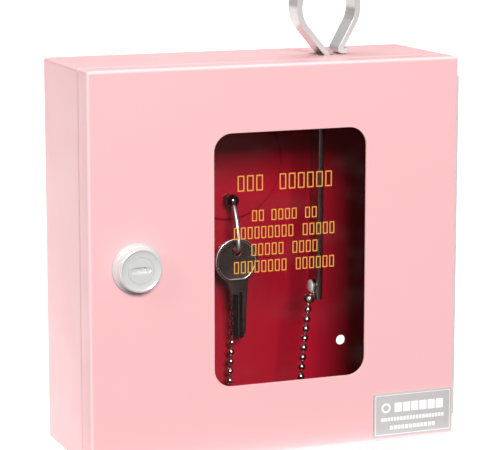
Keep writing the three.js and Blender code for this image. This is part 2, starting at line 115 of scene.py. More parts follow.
def combine(obj, other, operation, smooth_angle=32):
    """Joins, cuts or intersects obj with another object, which is used up."""
    change = obj.modifiers.new("combine", "BOOLEAN")
    change.operation = operation
    change.solver = "EXACT"
    change.object = other
    apply_modifiers(obj)
    bpy.data.objects.remove(other)
    soften(obj, smooth_angle)
    return obj


def weigh_normals(obj):
    """Flat faces stay flat beside their rounded edges."""
    change = obj.modifiers.new("normals", "WEIGHTED_NORMAL")
    change.keep_sharp = True
    change.weight = 100
    return apply_modifiers(obj)


def rect_loop(x0, x1, z0, z1, r, steps=8):
    """A rectangle with round corners as (x, z) points."""
    corners = [(x1 - r, z0 + r, -90), (x1 - r, z1 - r, 0), (x0 + r, z1 - r, 90), (x0 + r, z0 + r, 180)]
    points = []
    for cx, cz, start in corners:
        for i in range(steps + 1):
            a = math.radians(start + 90 * i / steps)
            points.append((cx + r * math.cos(a), cz + r * math.sin(a)))
    return points


def circle_loop(x, z, r, steps=48):
    turn = [2 * math.pi * i / steps for i in range(steps)]
    return [(x + r * math.cos(a), z + r * math.sin(a)) for a in turn]


def offset_loop(loop, d):
    """A closed counter-clockwise loop moved inwards by d, or outwards where d is negative."""
    points = []
    n = len(loop)
    for i, p in enumerate(loop):
        before = Vector(p) - Vector(loop[i - 1])
        after = Vector(loop[(i + 1) % n]) - Vector(p)
        a = Vector((-before.y, before.x)).normalized()
        b = Vector((-after.y, after.x)).normalized()
        middle = (a + b).normalized()
        reach = d / max(middle.dot(a), 0.35)
        points.append((p[0] + middle.x * reach, p[1] + middle.y * reach))
    return points


def raised(loop, y):
    return [(x, y, z) for x, z in loop]


def rounded_rings(loop, y0, y1, edge, inward=1, steps=3):
    """Rings of a wall from y0 to y1 whose two ends are rounded by edge; inward is -1 for a hole."""
    rings = []
    for i in range(steps + 1):
        a = math.radians(90 * i / steps)
        d = inward * edge * (1 - math.sin(a))
        rings.append(raised(offset_loop(loop, d), y0 + edge * (1 - math.cos(a))))
    for i in range(steps, -1, -1):
        a = math.radians(90 * i / steps)
        d = inward * edge * (1 - math.sin(a))
        rings.append(raised(offset_loop(loop, d), y1 - edge * (1 - math.cos(a))))
    return rings


def add_rings(verts, faces, rings, closed=False):
    """Joins rings of equal length by quads; returns the first index of each ring."""
    starts = []
    for ring in rings:
        starts.append(len(verts))
        verts.extend(ring)
    n = len(rings[0])
    pairs = list(zip(starts, starts[1:]))
    if closed:
        pairs.append((starts[-1], starts[0]))
    for a, b in pairs:
        for i in range(n):
            j = (i + 1) % n
            faces.append((a + i, a + j, b + j, b + i))
    return starts


def add_cap(verts, faces, starts_and_sizes):
    """Fills the flat face between an outer loop and the holes in it."""
    loops = [[Vector((verts[s + i][0], verts[s + i][2], 0)) for i in range(n)] for s, n in starts_and_sizes]
    index = [s + i for s, n in starts_and_sizes for i in range(n)]
    for tri in tessellate_polygon(loops):
        faces.append(tuple(index[i] for i in tri))


def plate_mesh(outer, holes=()):
    """A plate from its outer wall's rings and those of its holes, all from the front face to the back."""
    verts, faces, ends = [], [], []
    for rings in (outer, *holes):
        starts = add_rings(verts, faces, rings)
        ends.append((starts[0], starts[-1], len(rings[0])))
    add_cap(verts, faces, [(first, n) for first, _, n in ends])
    add_cap(verts, faces, [(last, n) for _, last, n in ends])
    return verts, faces


def plate(name, loop, y0, y1, edge=0.2, holes=(), hole_edge=None, turn=None):
    """A flat piece of one outline with rounded edges; turn maps its points to another plane."""
    hole_edge = edge if hole_edge is None else hole_edge
    hole_rings = [rounded_rings(h, y0, y1, hole_edge, -1) for h in holes]
    verts, faces = plate_mesh(rounded_rings(loop, y0, y1, edge), hole_rings)
    if turn:
        verts = [turn(v) for v in verts]
    return mesh_object(name, verts, faces)


def lathe(name, profile, axis, at, steps=72, smooth_angle=32):
    """(radius, height) points turned about a line along axis through at; a closed profile makes a ring."""
    verts, faces = [], []
    closed = profile[0] == profile[-1]
    points = profile[:-1] if closed else profile

    def ring(r, h):
        out = []
        for i in range(steps):
            a = 2 * math.pi * i / steps
            u, v = r * math.cos(a), r * math.sin(a)
            spots = {
                "x": (h, at[1] + u, at[2] + v),
                "y": (at[0] + u, h, at[2] + v),
                "z": (at[0] + u, at[1] + v, h),
            }
            out.append(spots[axis])
        return out

    add_rings(verts, faces, [ring(max(r, 1e-4), h) for r, h in points], closed)
    if not closed:
        last = len(verts) - steps
        faces.append(tuple(range(steps)))
        faces.append(tuple(range(last, last + steps)))
    return mesh_object(name, verts, faces, smooth_angle)


def rounded_profile(points, radius, steps=3):
    """Rounds each inner corner of an open profile by a small arc."""
    out = [points[0]]
    for before, p, after in zip(points, points[1:], points[2:]):
        a = Vector(before) - Vector(p)
        b = Vector(after) - Vector(p)
        reach = min(radius, a.length * 0.45, b.length * 0.45)
        start = Vector(p) + a.normalized() * reach
        end = Vector(p) + b.normalized() * reach
        for i in range(steps + 1):
            t = i / steps
            q = start * (1 - t) ** 2 + Vector(p) * 2 * t * (1 - t) + end * t**2
            out.append((q.x, q.y))
    out.append(points[-1])
    return out


def smooth_path(points, step):
    """Points about a step apart along a centripetal Catmull-Rom curve through the given ones."""
    pts = [Vector(p) for p in points]
    ends = [pts[0] * 2 - pts[1], *pts, pts[-1] * 2 - pts[-2]]
    fine = []
    for p0, p1, p2, p3 in zip(ends, ends[1:], ends[2:], ends[3:]):
        t1 = math.sqrt((p1 - p0).length)
        t2 = t1 + math.sqrt((p2 - p1).length)
        t3 = t2 + math.sqrt((p3 - p2).length)
        for i in range(24):
            t = t1 + (t2 - t1) * i / 24
            a1 = p0 * ((t1 - t) / t1) + p1 * (t / t1)
            a2 = p1 * ((t2 - t) / (t2 - t1)) + p2 * ((t - t1) / (t2 - t1))
            a3 = p2 * ((t3 - t) / (t3 - t2)) + p3 * ((t - t2) / (t3 - t2))
            b1 = a1 * ((t2 - t) / t2) + a2 * (t / t2)
            b2 = a2 * ((t3 - t) / (t3 - t1)) + a3 * ((t - t1) / (t3 - t1))
            fine.append(b1 * ((t2 - t) / (t2 - t1)) + b2 * ((t - t1) / (t2 - t1)))
    fine.append(pts[-1])
    lengths = [0]
    for a, b in zip(fine, fine[1:]):
        lengths.append(lengths[-1] + (b - a).length)
    count = max(1, round(lengths[-1] / step))
    out = []
    j = 0
    for i in range(count + 1):
        want = lengths[-1] * i / count
        while j < len(fine) - 2 and lengths[j + 1] < want:
            j += 1
        share = (want - lengths[j]) / (lengths[j + 1] - lengths[j])
        out.append(fine[j].lerp(fine[j + 1], share))
    return out


def sweep(points, radius, sides=20):
    """Vertices and faces of a round wire along points, with domed ends."""
    verts, rings = [], []
    side = Vector((1, 0, 0))
    n = len(points)
    for i, p in enumerate(points):
        ahead = (points[min(i + 1, n - 1)] - points[max(i - 1, 0)]).normalized()
        side = (side - ahead * side.dot(ahead)).normalized()
        up = ahead.cross(side)
        rings.append((p, side.copy(), up, radius, ahead))
    first, last = rings[0], rings[-1]
    domed = []
    for k in (0.15, 0.55, 0.85):
        p, s, u, r, ahead = first
        domed.append((p - ahead * r * math.sqrt(1 - k * k), s, u, r * k, ahead))
    domed.extend(rings)
    for k in (0.85, 0.55, 0.15):
        p, s, u, r, ahead = last
        domed.append((p + ahead * r * math.sqrt(1 - k * k), s, u, r * k, ahead))
    loops = []
    for p, s, u, r, _ in domed:
        turn = [2 * math.pi * i / sides for i in range(sides)]
        loops.append([tuple(p + s * (r * math.cos(a)) + u * (r * math.sin(a))) for a in turn])
    faces = []
    add_rings(verts, faces, loops)
    faces.append(tuple(range(sides)))
    faces.append(tuple(range(len(verts) - sides, len(verts))))
    return verts, faces


def ball(centre, radius, around=20, up=12):
    """Vertices and faces of a sphere."""
    verts = [(centre[0], centre[1], centre[2] + radius), (centre[0], centre[1], centre[2] - radius)]
    faces = []
    for j in range(1, up):
        b = math.pi * j / up
        for i in range(around):
            a = 2 * math.pi * i / around
            x = centre[0] + radius * math.sin(b) * math.cos(a)
            y = centre[1] + radius * math.sin(b) * math.sin(a)
            verts.append((x, y, centre[2] + radius * math.cos(b)))
    for i in range(around):
        k = (i + 1) % around
        faces.append((0, 2 + i, 2 + k))
        end = 2 + (up - 2) * around
        faces.append((1, end + k, end + i))
        for j in range(up - 2):
            a = 2 + j * around
            b = a + around
            faces.append((a + i, b + i, b + k, a + k))
    return verts, faces


def merge(parts):
    """One vertex and face list from several."""
    verts, faces = [], []
    for part_verts, part_faces in parts:
        shift = len(verts)
        verts.extend(part_verts)
        faces.extend(tuple(i + shift for i in face) for face in part_faces)
    return verts, faces


def refined(node, width=0.12, smooth_angle=32):
    """A copy of a CAD node with its edges eased, standing for the node."""
    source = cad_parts[node]
    mesh = source.data.copy()
    mesh.materials.clear()
    work = bmesh.new()
    work.from_mesh(mesh)
    bmesh.ops.remove_doubles(work, verts=work.verts, dist=2e-6)
    bmesh.ops.dissolve_limit(work, angle_limit=math.radians(1), verts=work.verts, edges=work.edges)
    work.to_mesh(mesh)
    work.free()
    obj = bpy.data.objects.new(node + "_fine", mesh)
    bpy.context.scene.collection.objects.link(obj)
    change = obj.modifiers.new("ease", "BEVEL")
    change.width = width * MM
    change.segments = 2
    change.limit_method = "ANGLE"
    change.angle_limit = math.radians(35)
    apply_modifiers(obj)
    soften(obj, smooth_angle)
    return obj


def finish_piece(obj, material, body, slot, *nodes):
    """Gives a piece its material, the body it rides on and the CAD nodes it stands for; slot is not used."""
    obj.data.materials.clear()
    obj.data.materials.append(material)
    if nodes:
        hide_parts(*nodes)
    if body:
        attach(obj, body)
    return obj


# ---------------------------------------------------------------- materials


class Paint:
    """A node material around one Principled shader, in object coordinates."""

    def __init__(self, name):
        self.material = bpy.data.materials.new(name)
        self.material.use_nodes = True
        self.tree = self.material.node_tree
        self.shader = self.tree.nodes["Principled BSDF"]
        self.where = self.tree.nodes.new("ShaderNodeTexCoord").outputs["Object"]

    def node(self, kind, **values):
        made = self.tree.nodes.new(kind)
        for key, value in values.items():
            setattr(made, key, value)
        return made

    def link(self, a, b):
        self.tree.links.new(a, b)

    def constants(self, **values):
        for key, value in values.items():
            self.shader.inputs[key.replace("_", " ")].default_value = value

    def noise(self, scale, detail=3.0, stretch=(1, 1, 1), rough=0.5):
        mapping = self.node("ShaderNodeMapping")
        mapping.inputs["Scale"].default_value = stretch
        self.link(self.where, mapping.inputs["Vector"])
        made = self.node("ShaderNodeTexNoise")
        made.inputs["Scale"].default_value = scale
        made.inputs["Detail"].default_value = detail
        made.inputs["Roughness"].default_value = rough
        self.link(mapping.outputs["Vector"], made.inputs["Vector"])
        return made.outputs["Fac"]

    def spread(self, source, low, high, start=0.3, end=0.7):
        made = self.node("ShaderNodeMapRange")
        made.inputs["From Min"].default_value = start
        made.inputs["From Max"].default_value = end
        made.inputs["To Min"].default_value = low
        made.inputs["To Max"].default_value = high
        self.link(source, made.inputs["Value"])
        return made.outputs["Result"]

    def blend(self, source, first, second):
        made = self.node("ShaderNodeMix", data_type="RGBA")
        self.link(source, made.inputs["Factor"])
        for socket, value in (("A", first), ("B", second)):
            target = [i for i in made.inputs if i.name == socket and i.type == "RGBA"][0]
            if isinstance(value, tuple):
                target.default_value = (*value, 1)
            else:
                self.link(value, target)
        return [o for o in made.outputs if o.type == "RGBA"][0]

    def color(self, source):
        self.link(source, self.shader.inputs["Base Color"])

    def roughness(self, source):
        self.link(source, self.shader.inputs["Roughness"])

    def bumps(self, *layers):
        """Each layer is (height source, depth in metres)."""
        normal = None
        for source, depth in layers:
            made = self.node("ShaderNodeBump")
            made.inputs["Distance"].default_value = depth
            self.link(source, made.inputs["Height"])
            if normal:
                self.link(normal, made.inputs["Normal"])
            normal = made.outputs["Normal"]
        self.link(normal, self.shader.inputs["Normal"])


def enamel(name, light, dark):
    """Stoved enamel: satin, with a fine orange peel."""
    paint = Paint(name)
    paint.constants(Specular_IOR_Level=0.3, Coat_Weight=0.1, Coat_Roughness=0.1)
    paint.color(paint.blend(paint.noise(9), light, dark))
    paint.roughness(paint.spread(paint.noise(45), 0.34, 0.44))
    paint.bumps((paint.noise(900, 2), 0.000012), (paint.noise(60, 2), 0.00002))
    return paint.material


def inner_enamel():
    """Deep red gloss enamel of the inside."""
    paint = Paint("inner_enamel")
    paint.constants(Specular_IOR_Level=0.28)
    paint.color(paint.blend(paint.noise(14), (0.41, 0.0075, 0.024), (0.38, 0.006, 0.019)))
    paint.roughness(paint.spread(paint.noise(70), 0.07, 0.13))
    paint.bumps((paint.noise(500, 2), 0.000002), (paint.noise(55, 2), 0.00001))
    return paint.material


def metal(name, light, dark, low, high, grain=(1, 1, 1), scale=220, depth=0.000006):
    """Plated steel with a faint grain and cloudy gloss."""
    paint = Paint(name)
    paint.constants(Metallic=1.0)
    cloud = paint.noise(scale * 0.3, 4, grain)
    paint.color(paint.blend(cloud, light, dark))
    paint.roughness(paint.spread(paint.noise(scale, 3, grain), low, high))
    paint.bumps((paint.noise(scale * 6, 3, grain), depth))
    return paint.material


def pale_plating(name, light, dark, low, high, metallic=0.35):
    """Pale satin plating: part metal, part soft white, so that it stays light wherever it faces."""
    paint = Paint(name)
    paint.constants(Metallic=metallic, Coat_Weight=0.8, Coat_Roughness=0.06)
    paint.color(paint.blend(paint.noise(66, 4), light, dark))
    paint.roughness(paint.spread(paint.noise(220, 3), low, high))
    paint.bumps((paint.noise(1300, 3), 0.000004))
    return paint.material


def window_glass():
    """Low-reflection glass: clear when looked through, a mirror only at a glance, with faint smears."""
    paint = Paint("glass")
    paint.constants(IOR=1.45, Specular_IOR_Level=0.6)
    paint.color(paint.blend(paint.noise(30), (0.9, 0.93, 0.92), (0.84, 0.88, 0.87)))
    paint.roughness(paint.spread(paint.noise(25, 4, (1, 1, 3)), 0.02, 0.08))
    paint.bumps((paint.noise(12, 2), 0.00002))
    fresnel = paint.node("ShaderNodeFresnel")
    fresnel.inputs["IOR"].default_value = 1.45
    glance = paint.spread(fresnel.outputs[0], 0.0, 0.8, 0.038, 0.8)
    smears = paint.spread(paint.noise(35, 5, (1, 1, 2)), 0.001, 0.008, 0.5, 0.8)
    total = paint.node("ShaderNodeMath", operation="ADD", use_clamp=True)
    paint.link(glance, total.inputs[0])
    paint.link(smears, total.inputs[1])
    through = paint.node("ShaderNodeBsdfTransparent")
    through.inputs["Color"].default_value = (0.975, 0.985, 0.98, 1)
    mix = paint.node("ShaderNodeMixShader")
    paint.link(total.outputs[0], mix.inputs[0])
    paint.link(through.outputs[0], mix.inputs[1])
    paint.link(paint.shader.outputs[0], mix.inputs[2])
    paint.link(mix.outputs[0], paint.tree.nodes["Material Output"].inputs["Surface"])
    return paint.material


def ink(name, light, dark, rough=0.45):
    """Printed or moulded colour with a slight mottle."""
    paint = Paint(name)
    paint.color(paint.blend(paint.noise(300), light, dark))
    paint.roughness(paint.spread(paint.noise(500), rough - 0.06, rough + 0.08))
    paint.bumps((paint.noise(1500, 2), 0.000005))
    return paint.material


ENAMEL = enamel("enamel", (0.82, 0.462, 0.474), (0.8, 0.447, 0.46))
# Paler enamel for the outer front folds: a painted highlight along the rounded edges.
FOLD_HIGHLIGHT_ENAMEL = enamel("enamel_painted_fold_highlight", (0.86, 0.585, 0.59), (0.83, 0.55, 0.555))
INNER = inner_enamel()
GLASS = window_glass()
CHROME = pale_plating("chrome", (0.86, 0.86, 0.85), (0.79, 0.79, 0.78), 0.08, 0.16)
LOOP_STEEL = pale_plating("loop_steel", (0.57, 0.57, 0.565), (0.51, 0.51, 0.505), 0.16, 0.26, 0.15)
SHANK_STEEL = metal("shank_steel", (0.34, 0.3, 0.27), (0.26, 0.22, 0.2), 0.12, 0.2, (1, 1, 0.2), 200)
ZINC = metal("zinc", (0.6, 0.61, 0.62), (0.48, 0.49, 0.5), 0.28, 0.42)
HINGE_STEEL = pale_plating("hinge_steel", (0.78, 0.76, 0.76), (0.72, 0.7, 0.7), 0.3, 0.42)
BRIGHT_ZINC = pale_plating("bright_zinc", (0.85, 0.84, 0.84), (0.76, 0.75, 0.75), 0.16, 0.26)
NICKEL = metal("nickel", (0.27, 0.185, 0.165), (0.17, 0.11, 0.1), 0.24, 0.34, (0.3, 1, 1), 300)
# Bright nickel for the bow's rim and edges: a painted highlight.
NICKEL_EDGE_HIGHLIGHT = metal("nickel_painted_edge_highlight", (0.92, 0.88, 0.85), (0.8, 0.76, 0.73), 0.3, 0.42)
# Near-black nickel for the floors of the blade's grooves: painted shade.
NICKEL_GROOVE_SHADE = metal("nickel_painted_groove_shade", (0.03, 0.018, 0.016), (0.016, 0.01, 0.009), 0.4, 0.5)
WIRE = metal("hook_wire", (0.97, 0.96, 0.95), (0.9, 0.89, 0.88), 0.34, 0.44)
# The hook's ball: chrome painted dark and reddish, a painted reflection of the dark red inside.
BALL_PAINTED_REFLECTION = metal("hook_ball", (0.3, 0.2, 0.2), (0.2, 0.12, 0.12), 0.1, 0.16)
# Near-black collar behind the hook's ball: painted shade round the ball.
COLLAR_PAINTED_SHADE = ink("dark_collar", (0.035, 0.02, 0.02), (0.02, 0.012, 0.012), 0.35)
BEADS = metal("beads", (0.84, 0.74, 0.7), (0.72, 0.62, 0.58), 0.12, 0.17)
LEGEND = ink("legend_print", (0.74, 0.34, 0.06), (0.66, 0.28, 0.045))
LABEL = ink("label", (0.52, 0.5, 0.495), (0.48, 0.46, 0.46))
LABEL_MARK = ink("label_marks", (0.95, 0.93, 0.93), (0.88, 0.86, 0.86))


def line_inside(obj, inner_box, material=None):
    """Gives the faces whose middle lies inside a box of drawing corners another finish, red by default."""
    low, high = place(inner_box[0]), place(inner_box[1])
    obj.data.materials.append(material or INNER)
    for face in obj.data.polygons:
        inside = all(a < c < b for a, c, b in zip(low, face.center, high))
        face.material_index = 1 if inside else 0


def paint_fold_highlight(obj, front):
    """A thin paler line along the outer folds behind a front plane: a painted highlight on the rounded front
    edges.
    """
    obj.data.materials.append(FOLD_HIGHLIGHT_ENAMEL)
    slot = len(obj.data.materials) - 1
    near, far = place((0, front - 0.1, 0)).y, place((0, front + BEND, 0)).y
    side, top, foot = (HALF - BEND) * MM, place((0, 0, SIDE - BEND)).z, place((0, 0, BEND)).z
    for face in obj.data.polygons:
        x, y, z = face.center
        outside = abs(x) > side or z > top or z < foot
        if outside and near < y < far and 0.6 < -face.normal.y < 0.985:
            face.material_index = slot


# ---------------------------------------------------------------- body and door

SHEET = 1.0
BEND = 1.4
DOOR_DEPTH = span("door_panel")[1].y
BODY_FRONT = span("body_wrapper")[0].y
WINDOW = (-27.5, 38.6, 29.8, 133.0, 7.5)
LOCK_X = (span("lock_housing")[0].x + span("lock_housing")[1].x) / 2
LOCK_Z = (span("lock_housing")[0].z + span("lock_housing")[1].z) / 2
BARREL_R = 8.6


def box_loop(inset):
    """The box's outline drawn in by an inset."""
    r = max(BEND - inset, 0.3)
    return rect_loop(-HALF + inset, HALF - inset, inset, SIDE - inset, r, 6)


def box_ring(inset, y):
    return raised(box_loop(inset), y)


def bend_rings(radius, inset, y, steps=6):
    """Rings of a fold from the face at y round to the wall at inset."""
    rings = []
    for i in range(steps + 1):
        a = math.radians(90 * i / steps)
        rings.append(box_ring(inset + radius * (1 - math.sin(a)), y + radius * (1 - math.cos(a))))
    return rings


def door_panel():
    """The door's tray: rounded front edges, a window and the lock's hole."""
    outer = bend_rings(BEND, 0, 0)
    end = DOOR_DEPTH
    outer += [box_ring(0, end - 0.25), box_ring(0.25, end)]
    outer += [box_ring(SHEET - 0.2, end), box_ring(SHEET, end - 0.2)]
    outer += reversed(bend_rings(0.5, SHEET, SHEET, 3))
    window = rect_loop(*WINDOW)
    barrel = circle_loop(LOCK_X, LOCK_Z, BARREL_R + 0.3)
    holes = [rounded_rings(window, 0, SHEET, 0.22, -1), rounded_rings(barrel, 0, SHEET, 0.15, -1)]
    obj = mesh_object("door_skin", *plate_mesh(outer, holes))
    return weigh_normals(obj)


def body_wrapper():
    """The wrapper of four walls with a return flange at the front and at the back, and the hammer's slot."""
    flange, back_flange = 9, 10
    inner_back = DEPTH - 2.2
    section = bend_rings(BEND, 0, BODY_FRONT)
    section += [box_ring(0, DEPTH - 0.2), box_ring(0.2, DEPTH), box_ring(SHEET - 0.2, DEPTH)]
    section += [box_ring(SHEET, DEPTH - 0.2), box_ring(SHEET, inner_back + SHEET)]
    section += [box_ring(back_flange, inner_back + SHEET), box_ring(back_flange, inner_back)]
    section += [box_ring(SHEET + 0.3, inner_back), box_ring(SHEET, inner_back - 0.3)]
    section += reversed(bend_rings(0.5, SHEET, BODY_FRONT + SHEET, 3))
    section += [box_ring(flange, BODY_FRONT + SHEET), box_ring(flange, BODY_FRONT)]
    verts, faces = [], []
    add_rings(verts, faces, section, closed=True)
    obj = mesh_object("body_skin", verts, faces)
    slot_loop = rect_loop(27.2, 35, 23.2, 35, 1.2, 5)
    cutter = plate("slot_cutter", slot_loop, -SIDE - 3, -SIDE + 3, 0.05, turn=lambda p: (p[0], p[2], -p[1]))
    combine(obj, cutter, "DIFFERENCE")
    return weigh_normals(obj)


COLLAR = span("hook_collar")
KEY_X = (COLLAR[0].x + COLLAR[1].x) / 2
HOOK = {"z": (COLLAR[0].z + COLLAR[1].z) / 2, "y": 49.5, "wire": 1.1, "ball": 2.9}
BOSS = {"z": 112, "r": 24.5, "rise": DEPTH - SHEET - span("back_panel")[0].y}


def back_panel():
    """The back sheet with its embossed boss, four mounting holes and two rivet holes."""
    y = DEPTH - SHEET
    rise = BOSS["rise"]
    steps = 96
    groove = [(-0.3, 0), (-0.27, -0.3), (0, -0.3)]
    slope = groove + [(0.1, 0.1), (0.3, 0.6), (0.7, 1.3), (1.0, 1.52), (1.5, rise)]
    verts, faces = [], []
    sheet_loop = box_loop(SHEET + 0.2)
    holes = [circle_loop(x, z, 2.15, 32) for x in (-53.2, 53.2) for z in (30.6, 129.4)]
    holes.append(circle_loop(1.8, 75, 1.4, 24))
    outer = add_rings(verts, faces, rounded_rings(sheet_loop, y, DEPTH, 0.15))
    ends = [(outer[0], outer[-1], len(sheet_loop))]
    for loop in holes:
        starts = add_rings(verts, faces, rounded_rings(loop, y, DEPTH, 0.15, -1))
        ends.append((starts[0], starts[-1], len(loop)))
    front = [raised(circle_loop(0, BOSS["z"], BOSS["r"] - d, steps), y - h) for d, h in slope]
    back = [raised(circle_loop(0, BOSS["z"], BOSS["r"] - 0.5 - d, steps), DEPTH - h) for d, h in slope]
    front_starts = add_rings(verts, faces, front)
    back_starts = add_rings(verts, faces, back)
    hook = circle_loop(KEY_X, HOOK["z"], 1.4, 24)
    hook_starts = add_rings(verts, faces, rounded_rings(hook, y - rise, DEPTH - rise, 0.1, -1))
    add_cap(verts, faces, [(first, n) for first, _, n in ends] + [(front_starts[0], steps)])
    add_cap(verts, faces, [(last, n) for _, last, n in ends] + [(back_starts[0], steps)])
    add_cap(verts, faces, [(front_starts[-1], steps), (hook_starts[0], 24)])
    add_cap(verts, faces, [(back_starts[-1], steps), (hook_starts[-1], 24)])
    return weigh_normals(mesh_object("back_sheet", verts, faces))


rim = SHEET * 0.75
door_skin = finish_piece(door_panel(), ENAMEL, "door", "enamel", "door_panel")
line_inside(door_skin, ((rim - HALF, rim, rim), (HALF - rim, DOOR_DEPTH - rim, SIDE - rim)))
body_skin = finish_piece(body_wrapper(), ENAMEL, "cabinet", "enamel", "body_wrapper")
line_inside(body_skin, ((rim - HALF, BODY_FRONT - rim, rim), (HALF - rim, DEPTH - 2, SIDE - rim)))
# Painted highlight along the front folds of the door and of the body.
paint_fold_highlight(door_skin, 0)
paint_fold_highlight(body_skin, BODY_FRONT)
finish_piece(back_panel(), INNER, "cabinet", "inner_enamel", "back_panel")

# ---------------------------------------------------------------- glass, its notice and the label


def glass_pane():
    low, high = span("glass_pane")
    loop = rect_loop(low.x, high.x, low.z, high.z, 1.0, 4)
    return plate("window_pane", loop, low.y, high.y, 0.25)


# Rows of the notice: height of the marks' foot and top, spacing, and each word's start and count of marks
NOTICE = [
    (109.2, 115.6, 4.0, [(-17.1, 3), (1.0, 6)]),
    (96.8, 101.3, 2.95, [(-10.9, 2), (-2.5, 4), (12.2, 2)]),
    (89.7, 94.6, 2.95, [(-18.7, 9), (11.2, 5)]),
    (82.7, 87.6, 2.95, [(-11.2, 5), (6.7, 4)]),
    (75.8, 80.7, 2.95, [(-18.7, 8), (8.2, 6)]),
]


def notice_print():
    """The printed notice as rows of plain outlined marks, with no lettering."""
    y1 = span("glass_pane")[0].y - 0.02
    parts = []
    for low, high, pitch, words in NOTICE:
        wide = pitch * 0.72
        stroke = 0.34 + 0.02 * (high - low)
        for start, count in words:
            for i in range(count):
                x = start + i * pitch
                outer = rect_loop(x, x + wide, low, high, 0.2, 2)
                inner = rect_loop(x + stroke, x + wide - stroke, low + stroke, high - stroke, 0.1, 2)
                hole = [raised(inner, y1 - 0.05), raised(inner, y1)]
                parts.append(plate_mesh([raised(outer, y1 - 0.05), raised(outer, y1)], [hole]))
    return mesh_object("notice_print", *merge(parts))


def label_plate():
    low, high = span("label_plate")
    return plate("label_face", rect_loop(low.x, high.x, low.z, high.z, 0.8, 4), low.y, high.y, 0.12)


def label_marks():
    """Plain blocks, a ring and a thin frame in place of the label's print."""
    low, high = span("label_plate")
    y0, y1 = low.y - 0.08, low.y + 0.02
    rows = [(9.5, 32.4, 10.2, 14.2, 6, 0.5), (3.4, 32.6, 6.5, 8.1, 20, 0.35), (7.4, 28.6, 2.8, 4.5, 12, 0.4)]
    parts = []
    for x0, x1, z0, z1, count, gap in rows:
        pitch = (x1 - x0) / count
        for i in range(count):
            x = low.x + x0 + i * pitch
            loop = rect_loop(x, x + pitch - gap, low.z + z0, low.z + z1, 0.25, 3)
            parts.append(plate_mesh([raised(loop, y0), raised(loop, y1)]))
    rings = [(circle_loop(low.x + 5.6, low.z + 12.2, 2.1), circle_loop(low.x + 5.6, low.z + 12.2, 1.3))]
    inset = 0.75
    edges = (inset, inset + 0.2)
    frame_loops = [rect_loop(low.x + e, high.x - e, low.z + e, high.z - e, 0.4, 3) for e in edges]
    rings.append(tuple(frame_loops))
    for outer, inner in rings:
        hole = [raised(inner, y0), raised(inner, y1)]
        parts.append(plate_mesh([raised(outer, y0), raised(outer, y1)], [hole]))
    return mesh_object("label_marks", *merge(parts))


finish_piece(glass_pane(), GLASS, "door", "glass", "glass_pane")
finish_piece(notice_print(), LEGEND, "door", "legend_print")
finish_piece(label_plate(), LABEL, "door", "label", "label_plate")
finish_piece(label_marks(), LABEL_MARK, "door", "label")

# ---------------------------------------------------------------- lock

LOCK_AT = (LOCK_X, 0, LOCK_Z)
LOCK_FACE = span("lock_plug")[0].y
PLUG_R = (span("lock_plug")[1].x - span("lock_plug")[0].x) / 2
BARREL_END = span("lock_housing")[1].y
CAM_HOLE = 3.2


def lock_housing():
    """The collar: a thin flange, a round wall and a flat face with a raised lip."""
    bore = PLUG_R + 0.06
    front = [(bore, -5.2), (bore, LOCK_FACE + 0.02), (bore + 0.02, LOCK_FACE), (7.5, LOCK_FACE)]
    front += [(7.75, -5.8), (7.95, -5.98), (8.25, -6)]
    shoulder = [(8.6, -5.85), (8.8, -5.55), (8.85, -5.1), (8.95, -2.4)]
    shoulder += [(9.1, -1.7), (9.4, -1.45), (10.0, -1.3)]
    rear = [(10.25, -1.1), (10.3, -0.8), (10.3, -0.35), (10.1, -0.3), (BARREL_R, -0.3)]
    thread = []
    for i in range(26):
        y = 0.6 + i * 0.56
        thread += [(BARREL_R - 0.35, y), (BARREL_R, y + 0.28)]
    end = [(BARREL_R - 0.4, BARREL_END - 0.1), (bore, BARREL_END), (bore, -5.2)]
    profile = front + shoulder + rear + thread + end
    return lathe("lock_collar", profile, "y", LOCK_AT, 96, 40)


def lens_loop(x, z, half_wide, half_high):
    """A long rounded recess outline."""
    turn = [2 * math.pi * i / 40 for i in range(40)]
    power = 0.7
    points = []
    for a in turn:
        c, d = math.cos(a), math.sin(a)
        across = half_wide * math.copysign(abs(c) ** power, c)
        up = half_high * math.copysign(abs(d) ** power, d)
        points.append((x + across, z + up))
    return points


def lock_plug():
    """The plug with its keyway, a shallow recess round it and the square tail."""
    face = LOCK_FACE
    end = BARREL_END + 0.4
    profile = [(0, face), (PLUG_R - 0.02, face), (PLUG_R, face + 0.02)]
    profile += [(PLUG_R, end - 0.2), (PLUG_R - 0.2, end), (0, end)]
    plug = lathe("lock_core", profile, "y", LOCK_AT, 64)
    half = CAM_HOLE - 0.3
    tail = rect_loop(LOCK_X - half, LOCK_X + half, LOCK_Z - half, LOCK_Z + half, 0.5, 4)
    combine(plug, plate("tail", tail, BARREL_END - 0.2, span("lock_plug")[1].y, 0.15), "UNION")
    recess = lens_loop(LOCK_X, LOCK_Z, 4.4, 1.5)
    combine(plug, plate("recess", recess, face - 1, face + 0.55, 0.4), "DIFFERENCE")
    keyway = rect_loop(LOCK_X - 2.5, LOCK_X + 2.5, LOCK_Z - 1.05, LOCK_Z + 1.05, 0.25, 3)
    combine(plug, plate("keyway", keyway, face - 1, face + 1.5, 0.05), "DIFFERENCE")
    rib = rect_loop(LOCK_X - 0.2, LOCK_X + 1.1, LOCK_Z + 0.35, LOCK_Z + 1.4, 0.15, 3)
    combine(plug, plate("rib", rib, face + 0.9, face + 1.7, 0.05), "UNION")
    screw_hole = circle_loop(LOCK_X, LOCK_Z, 1.6, 32)
    return combine(plug, plate("screw_hole", screw_hole, 12, 19, 0.05), "DIFFERENCE")


